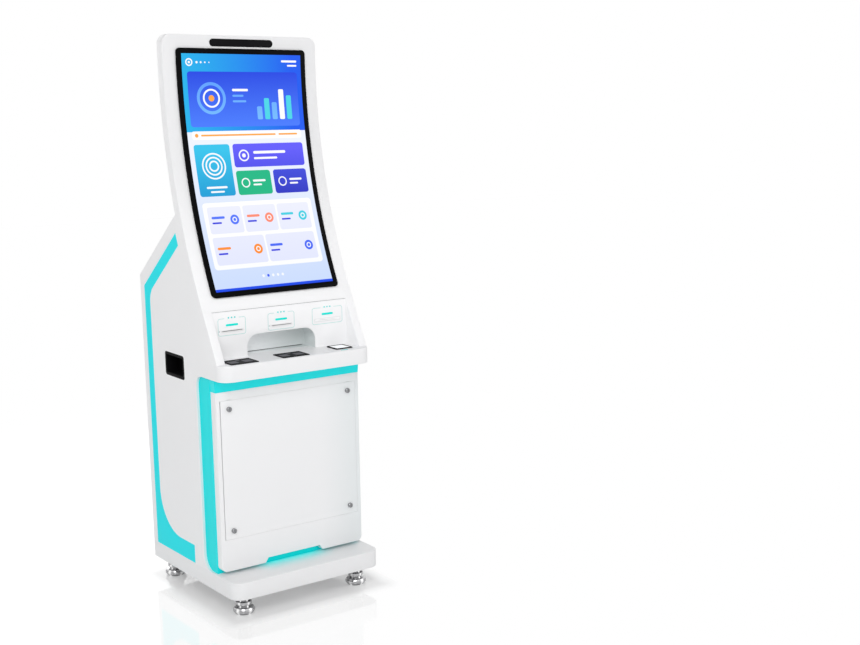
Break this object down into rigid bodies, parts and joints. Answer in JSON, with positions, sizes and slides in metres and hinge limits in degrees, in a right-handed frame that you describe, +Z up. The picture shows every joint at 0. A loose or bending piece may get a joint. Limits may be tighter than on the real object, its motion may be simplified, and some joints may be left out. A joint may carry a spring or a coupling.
{
  "type": "self-service kiosk",
  "caption": "Free-standing kiosk with a tall curved portrait touch screen over a reader tray, a paper outlet niche, a lift-off service hatch, a rear door and levelling feet.",
  "frame": {"origin": "on the floor, under the middle of the plinth", "axes": "+Z up, the front with the screen faces -Y, +X to the right seen from the front"},
  "size_m": [0.5, 0.535, 1.666],
  "materials": {
    "white_paint": "satin",
    "teal_paint": "satin",
    "teal_film": "gloss",
    "teal_light": "gloss",
    "black_plastic": "matte",
    "pad_black": "gloss",
    "screen_glass": "polished",
    "display_black": "matte",
    "camera_glass": "polished",
    "scanner_glass": "polished",
    "white_plastic": "matte",
    "chrome": "polished",
    "lock_steel": "satin",
    "zinc_sheet": "satin",
    "device_grey": "matte",
    "device_case": "satin",
    "inlet_black": "matte",
    "paper": "matte"
  },
  "bodies": {
    "cabinet": {"base_plinth": "white_paint", "foot_sockets": "zinc_sheet", "left_side_panel": "white_paint", "right_side_panel": "white_paint", "left_stripe": "teal_film", "right_stripe": "teal_film", "left_hand_grip": "black_plastic", "right_hand_grip": "black_plastic", "left_liner": "teal_paint", "right_liner": "teal_paint", "top_liner": "teal_paint", "bottom_liner": "teal_paint", "kick_light": "teal_light", "front_frame": "white_paint", "tray_shell": "white_paint", "left_cheek": "white_plastic", "right_cheek": "white_plastic", "recess_panel": "white_paint", "niche_box": "white_paint", "receipt_bezels": "white_plastic", "card_bezel": "white_plastic", "status_lights": "teal_light", "id_reader_pad": "pad_black", "nfc_reader_pad": "pad_black", "reader_modules": "device_grey", "scanner_frame": "black_plastic", "scanner_glass": "scanner_glass", "front_fascia": "white_paint", "screen_glass": "screen_glass", "display_housing": "display_black", "display_rails": "zinc_sheet", "camera_window": "camera_glass", "camera_unit": "device_grey", "head_rear_cover": "white_paint", "shoulder_cover": "white_paint", "rear_upper_rail": "white_paint", "rear_lower_rail": "white_paint", "power_inlet": "inlet_black", "printer_shelf": "zinc_sheet", "report_printer": "device_grey", "left_receipt_printer": "zinc_sheet", "middle_receipt_printer": "zinc_sheet", "card_unit": "white_plastic", "computer": "device_case", "power_supply": "device_case"},
    "rocker_switch": {"rocker_switch": "inlet_black"},
    "left_paper_roll": {"left_paper_roll": "paper"},
    "middle_paper_roll": {"middle_paper_roll": "paper"},
    "service_hatch": {"service_hatch": "white_paint"},
    "upper_left_lock": {"upper_left_lock": "lock_steel"},
    "upper_right_lock": {"upper_right_lock": "lock_steel"},
    "lower_left_lock": {"lower_left_lock": "lock_steel"},
    "lower_right_lock": {"lower_right_lock": "lock_steel"},
    "rear_door": {"rear_door": "white_paint"},
    "rear_door_lock": {"rear_door_lock": "lock_steel"},
    "front_left_foot": {"front_left_foot": "chrome"},
    "front_right_foot": {"front_right_foot": "chrome"},
    "rear_left_foot": {"rear_left_foot": "chrome"},
    "rear_right_foot": {"rear_right_foot": "chrome"}
  },
  "joints": [
    {"name": "hatch_lift_off", "type": "slide", "parent": "cabinet", "child": "service_hatch", "axis": [0, -1, 0], "range_m": [0, 0.2]},
    {"name": "upper_left_lock_turn", "type": "hinge", "parent": "service_hatch", "child": "upper_left_lock", "pos_m": [-0.2, -0.1765, 0.609], "axis": [0, -1, 0], "range_deg": [0, 90]},
    {"name": "upper_right_lock_turn", "type": "hinge", "parent": "service_hatch", "child": "upper_right_lock", "pos_m": [0.2, -0.1765, 0.609], "axis": [0, 1, 0], "range_deg": [0, 90]},
    {"name": "lower_left_lock_turn", "type": "hinge", "parent": "service_hatch", "child": "lower_left_lock", "pos_m": [-0.2, -0.1765, 0.244], "axis": [0, 1, 0], "range_deg": [0, 90]},
    {"name": "lower_right_lock_turn", "type": "hinge", "parent": "service_hatch", "child": "lower_right_lock", "pos_m": [0.2, -0.1765, 0.244], "axis": [0, -1, 0], "range_deg": [0, 90]},
    {"name": "rear_door_hinge", "type": "hinge", "parent": "cabinet", "child": "rear_door", "pos_m": [-0.235, 0.2505, 0.562], "axis": [0, 0, 1], "range_deg": [0, 95]},
    {"name": "rear_door_lock_turn", "type": "hinge", "parent": "rear_door", "child": "rear_door_lock", "pos_m": [0.21, 0.2585, 0.562], "axis": [0, -1, 0], "range_deg": [0, 90]},
    {"name": "rocker_tip", "type": "hinge", "parent": "cabinet", "child": "rocker_switch", "pos_m": [0.15, 0.261, 0.163], "axis": [0, 0, 1], "range_deg": [0, 16]},
    {"name": "left_paper_roll_spin", "type": "hinge", "parent": "cabinet", "child": "left_paper_roll", "pos_m": [-0.161, -0.1002, 0.851], "axis": [1, 0, 0], "continuous": true},
    {"name": "middle_paper_roll_spin", "type": "hinge", "parent": "cabinet", "child": "middle_paper_roll", "pos_m": [0, -0.1002, 0.851], "axis": [1, 0, 0], "continuous": true},
    {"name": "front_left_foot_height", "type": "slide", "parent": "cabinet", "child": "front_left_foot", "axis": [0, 0, 1], "range_m": [-0.012, 0.012]},
    {"name": "front_right_foot_height", "type": "slide", "parent": "cabinet", "child": "front_right_foot", "axis": [0, 0, 1], "range_m": [-0.012, 0.012]},
    {"name": "rear_left_foot_height", "type": "slide", "parent": "cabinet", "child": "rear_left_foot", "axis": [0, 0, 1], "range_m": [-0.012, 0.012]},
    {"name": "rear_right_foot_height", "type": "slide", "parent": "cabinet", "child": "rear_right_foot", "axis": [0, 0, 1], "range_m": [-0.012, 0.012]}
  ]
}
